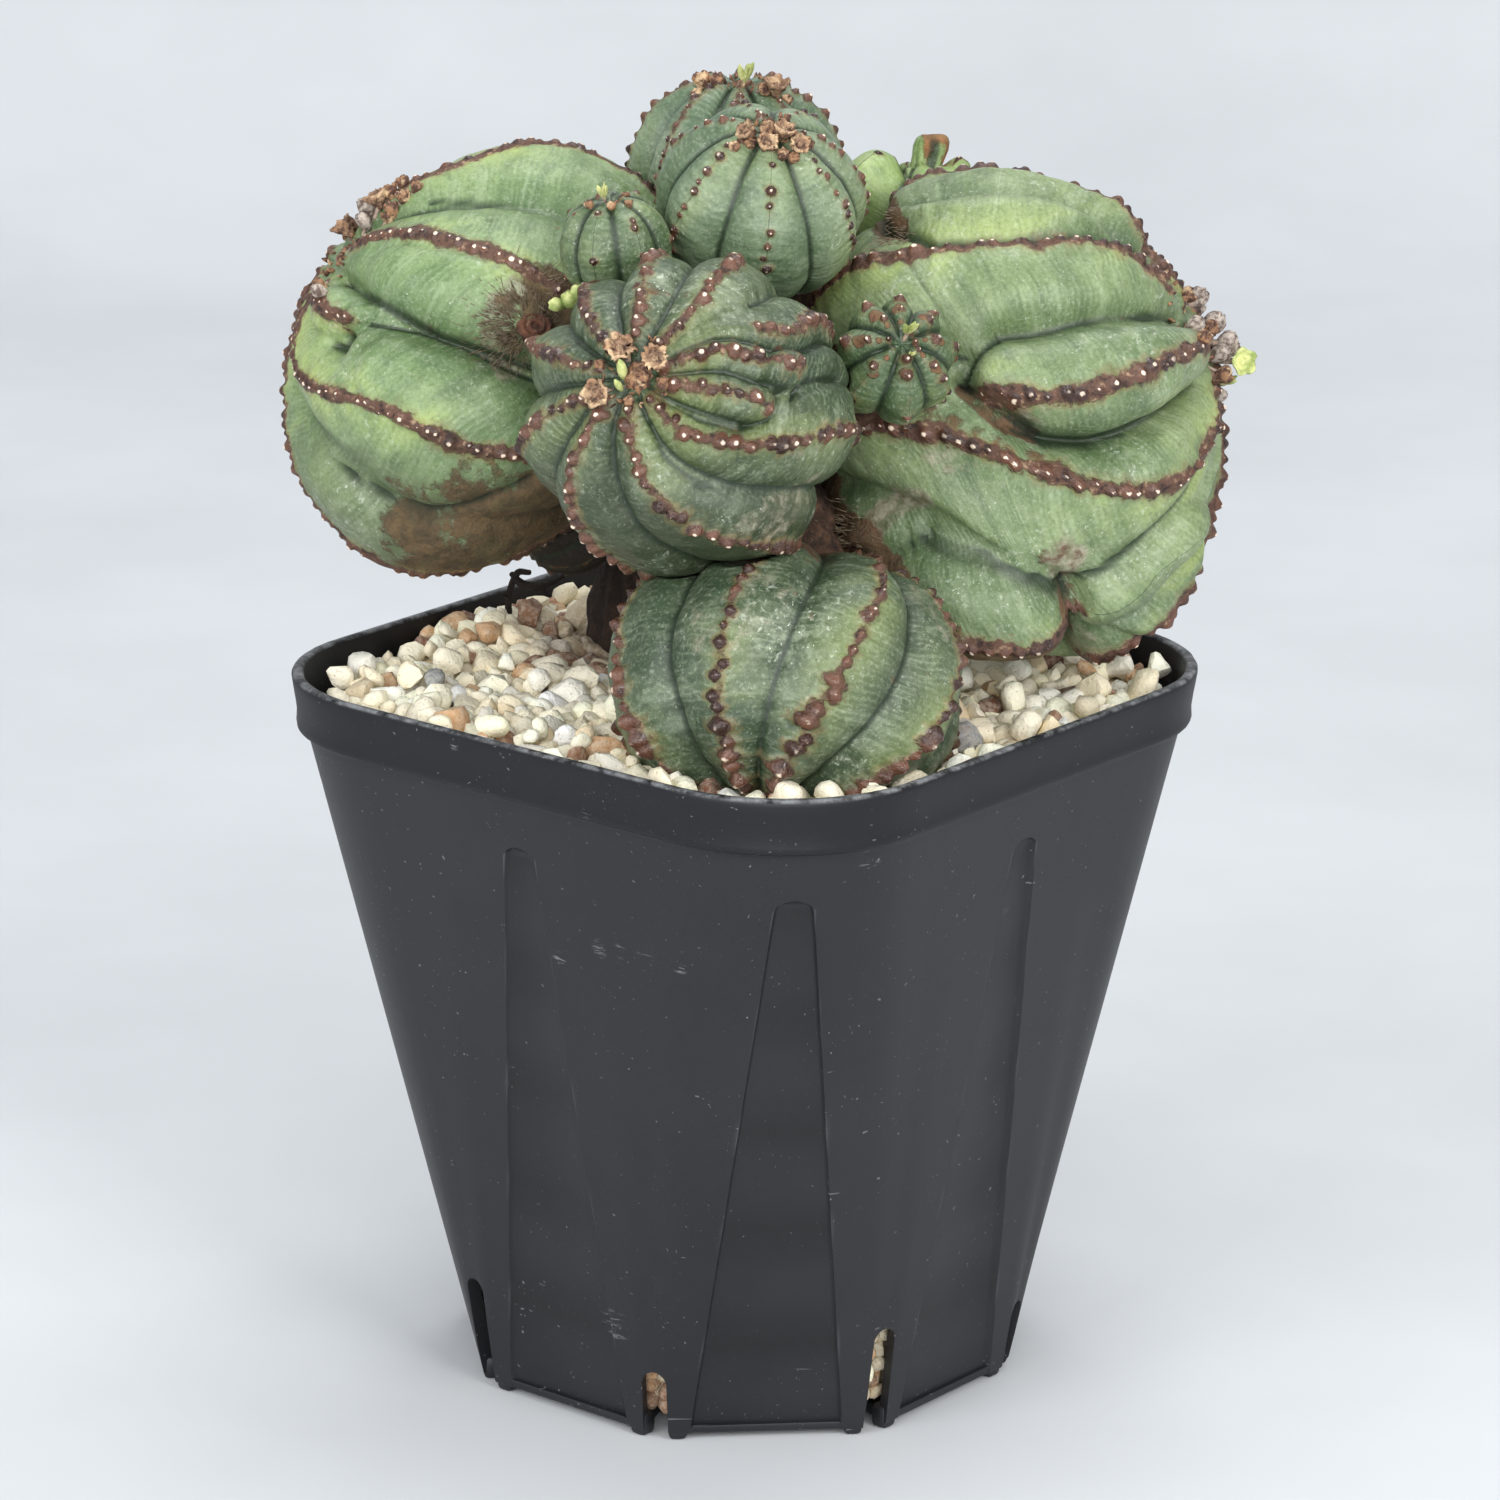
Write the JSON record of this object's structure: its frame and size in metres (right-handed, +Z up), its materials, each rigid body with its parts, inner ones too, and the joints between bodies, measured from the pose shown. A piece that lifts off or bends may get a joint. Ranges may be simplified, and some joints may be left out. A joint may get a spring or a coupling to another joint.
{
  "type": "potted baseball plant",
  "caption": "Clump of ribbed succulent heads on a woody stem, rooted in a gravel-topped square black plastic slit pot.",
  "frame": {"origin": "on the ground, at the middle of the underside of the pot", "axes": "+Z up the middle of the pot; -Y towards the corner of the pot's rim that faces the viewer, +X to the viewer's right"},
  "size_m": [0.191, 0.1848, 0.2647],
  "materials": {
    "pot": "matte black moulded plastic, lightly scuffed and dusty",
    "gravel": "dry cream and tan gravel with a few brown and grey stones",
    "bark": "dry cracked brown bark",
    "skin_blue": "waxy grey-green plant skin with fine pale cross bands",
    "skin_green": "waxy yellow-green plant skin with fine pale cross bands",
    "skin_young": "smooth pale green young plant skin",
    "dried": "dry grey-brown flower stalks",
    "buds": "small yellow-green buds",
    "dead_twig": "dark dead stalk"
  },
  "bodies": {
    "root": {"pot": "pot", "soil": "gravel", "trunk": "bark", "head_centre": "skin_blue", "head_front": "skin_blue", "head_left": "skin_green", "head_right": "skin_green", "head_top": "skin_blue", "head_top_back": "skin_blue", "pup_left": "skin_blue", "pup_right": "skin_blue", "pup_back": "skin_young", "stalks_centre": "dried", "stalks_top": "dried", "stalks_top_back": "dried", "stalks_left": "dried", "stalks_right": "dried", "buds_side": "buds", "twig": "dead_twig"}
  },
  "joints": []
}
